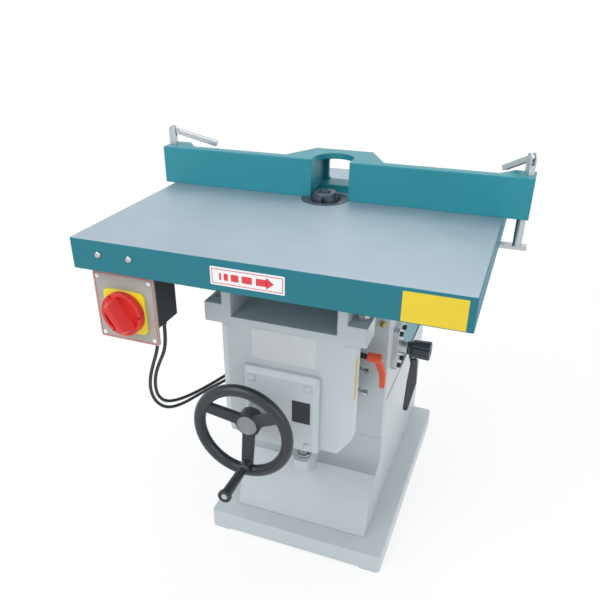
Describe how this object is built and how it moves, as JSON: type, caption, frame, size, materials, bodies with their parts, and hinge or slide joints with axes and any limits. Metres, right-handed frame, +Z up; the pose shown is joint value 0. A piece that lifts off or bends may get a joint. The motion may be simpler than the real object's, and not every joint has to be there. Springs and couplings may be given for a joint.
{
  "type": "spindle moulder",
  "caption": "Floor-standing spindle moulder: knee-mounted table and clamped fence lift past a fixed vertical cutter by handwheel; rotary switch box, belt-tension lever, rear motor.",
  "frame": {"origin": "on the floor, straight below the spindle axis", "axes": "+X to the operator's right, +Y to the back, +Z up"},
  "size_m": [0.8805, 1.0108, 1.059],
  "materials": {
    "grey_paint": "satin pale grey paint",
    "teal_paint": "satin teal paint, table's top face ground bare",
    "ground_iron": "machined cast iron",
    "bright_steel": "bright turned steel",
    "galvanised_steel": "zinc plated",
    "dark_steel": "black oxide",
    "black_plastic": "moulded, satin",
    "cable_rubber": "matt sheath",
    "panel_grey": "satin panel",
    "yellow_plastic": "moulded",
    "red_plastic": "moulded",
    "orange_paint": "gloss lacquer",
    "brass": "turned brass and bronze",
    "motor_paint": "dark grey paint"
  },
  "bodies": {
    "frame": {"base_plate": "grey_paint", "pedestal_shell": "grey_paint", "pedestal_apron": "grey_paint", "column": "grey_paint", "dovetail_way": "ground_iron", "lead_screw": "bright_steel", "screw_bracket": "grey_paint", "spindle_housing": "ground_iron", "spindle_bearings": "bright_steel", "rear_cover": "teal_paint", "tension_flange": "ground_iron", "flange_screws": "dark_steel", "oil_cup": "brass", "column_glands": "black_plastic", "drive_belt": "cable_rubber"},
    "knee": {"knee_casting": "grey_paint", "gear_cover": "grey_paint", "cover_screws": "grey_paint", "shaft_bush": "bright_steel", "gib_strip": "ground_iron", "gib_screws": "bright_steel", "table": "teal_paint", "table_ring": "dark_steel", "table_bolts": "bright_steel", "levelling_studs": "bright_steel", "switch_housing": "black_plastic", "switch_panel": "panel_grey", "switch_plate": "yellow_plastic", "panel_screws": "bright_steel", "apron_bolts": "bright_steel", "box_glands": "black_plastic", "cable_left": "cable_rubber", "cable_right": "cable_rubber"},
    "handwheel": {"handwheel": "black_plastic", "drive_shaft": "bright_steel", "drive_pinion": "bright_steel", "grip_axle": "bright_steel"},
    "grip": {"crank_grip": "black_plastic"},
    "lift_nut": {"lift_nut": "brass"},
    "switch": {"switch_handle": "red_plastic"},
    "lock": {"lock_lever": "orange_paint", "lock_stud": "dark_steel"},
    "fence": {"fence": "teal_paint"},
    "left_rod": {"left_clamp_rod": "galvanised_steel"},
    "left_post": {"left_clamp_post": "galvanised_steel"},
    "left_lever": {"left_clamp_lever": "galvanised_steel"},
    "right_rod": {"right_clamp_rod": "galvanised_steel"},
    "right_post": {"right_clamp_post": "galvanised_steel"},
    "right_lever": {"right_clamp_lever": "galvanised_steel"},
    "spindle": {"spindle_shaft": "bright_steel", "spindle_pulley": "bright_steel", "cutter_block": "dark_steel", "spindle_nut": "bright_steel"},
    "motor": {"motor_body": "motor_paint", "motor_plate": "motor_paint"},
    "rotor": {"motor_shaft": "bright_steel", "motor_pulley": "ground_iron"},
    "tension": {"tension_shaft": "bright_steel", "tension_lever": "dark_steel"},
    "knob": {"tension_knob": "black_plastic"}
  },
  "joints": [
    {"name": "handwheel_turn", "type": "hinge", "parent": "knee", "child": "handwheel", "pos_m": [-0.049, -0.351, 0.512], "axis": [0, 1, 0], "range_deg": [-3964, 2642.6]},
    {"name": "knee_lift", "type": "slide", "parent": "frame", "child": "knee", "axis": [0, 0, 1], "range_m": [-0.06, 0.04], "deforming": ["cable_left", "cable_right"]},
    {"name": "lift_nut_turn", "type": "hinge", "parent": "knee", "child": "lift_nut", "pos_m": [0, -0.127, 0.512], "axis": [0, 0, 1], "range_deg": [-2162.2, 1441.4]},
    {"name": "grip_spin", "type": "hinge", "parent": "handwheel", "child": "grip", "pos_m": [-0.04279, -0.458, 0.42322], "axis": [0, 1, 0], "continuous": true},
    {"name": "switch_turn", "type": "hinge", "parent": "knee", "child": "switch", "pos_m": [-0.2995, -0.412, 0.768], "axis": [0, 1, 0], "range_deg": [0, 90]},
    {"name": "lock_turn", "type": "hinge", "parent": "knee", "child": "lock", "pos_m": [0.15, -0.0765, 0.569], "axis": [1, 0, 0], "range_deg": [-100, 0]},
    {"name": "fence_slide", "type": "slide", "parent": "knee", "child": "fence", "axis": [0, 1, 0], "range_m": [-0.02, 0.06]},
    {"name": "left_post_turn", "type": "hinge", "parent": "fence", "child": "left_post", "pos_m": [-0.41, 0.028, 1.013], "axis": [0, 0, 1], "range_deg": [0, 85]},
    {"name": "left_rod_slide", "type": "slide", "parent": "fence", "child": "left_rod", "axis": [0, 0, 1], "range_m": [-0.0006, 0.0003]},
    {"name": "left_lever_fold", "type": "hinge", "parent": "left_post", "child": "left_lever", "pos_m": [-0.41, 0.028, 1.05], "axis": [0.1564, -0.9877, 0], "range_deg": [0, 100]},
    {"name": "right_post_turn", "type": "hinge", "parent": "fence", "child": "right_post", "pos_m": [0.435, 0.028, 1.013], "axis": [0, 0, 1], "range_deg": [-35, 30]},
    {"name": "right_rod_slide", "type": "slide", "parent": "fence", "child": "right_rod", "axis": [0, 0, 1], "range_m": [-0.0006, 0.0003]},
    {"name": "right_lever_fold", "type": "hinge", "parent": "right_post", "child": "right_lever", "pos_m": [0.435, 0.028, 1.05], "axis": [0.8572, 0.515, 0], "range_deg": [0, 100]},
    {"name": "spindle_spin", "type": "hinge", "parent": "frame", "child": "spindle", "pos_m": [0, 0, 0.71], "axis": [0, 0, 1], "continuous": true},
    {"name": "motor_slide", "type": "slide", "parent": "frame", "child": "motor", "axis": [0, 1, 0], "range_m": [-0.012, 0], "deforming": ["drive_belt"]},
    {"name": "rotor_spin", "type": "hinge", "parent": "motor", "child": "rotor", "pos_m": [0, 0.33, 0.56], "axis": [0, 0, 1], "continuous": true},
    {"name": "tension_turn", "type": "hinge", "parent": "frame", "child": "tension", "pos_m": [0.207, 0.03, 0.554], "axis": [1, 0, 0], "range_deg": [-46, 0.1]},
    {"name": "knob_turn", "type": "hinge", "parent": "tension", "child": "knob", "pos_m": [0.258, 0.03, 0.554], "axis": [1, 0, 0], "range_deg": [0, 180]}
  ],
  "couplings": [
    {"joint": "handwheel_turn", "follows": "knee_lift", "rad_per_m": 1151.9},
    {"joint": "lift_nut_turn", "follows": "knee_lift", "rad_per_m": 628.32},
    {"joint": "left_rod_slide", "follows": "left_post_turn", "m_per_rad": -0.00031831},
    {"joint": "right_rod_slide", "follows": "right_post_turn", "m_per_rad": -0.00031831},
    {"joint": "rotor_spin", "follows": "spindle_spin", "ratio": 0.43474},
    {"joint": "tension_turn", "follows": "motor_slide", "rad_per_m": 66.667}
  ]
}
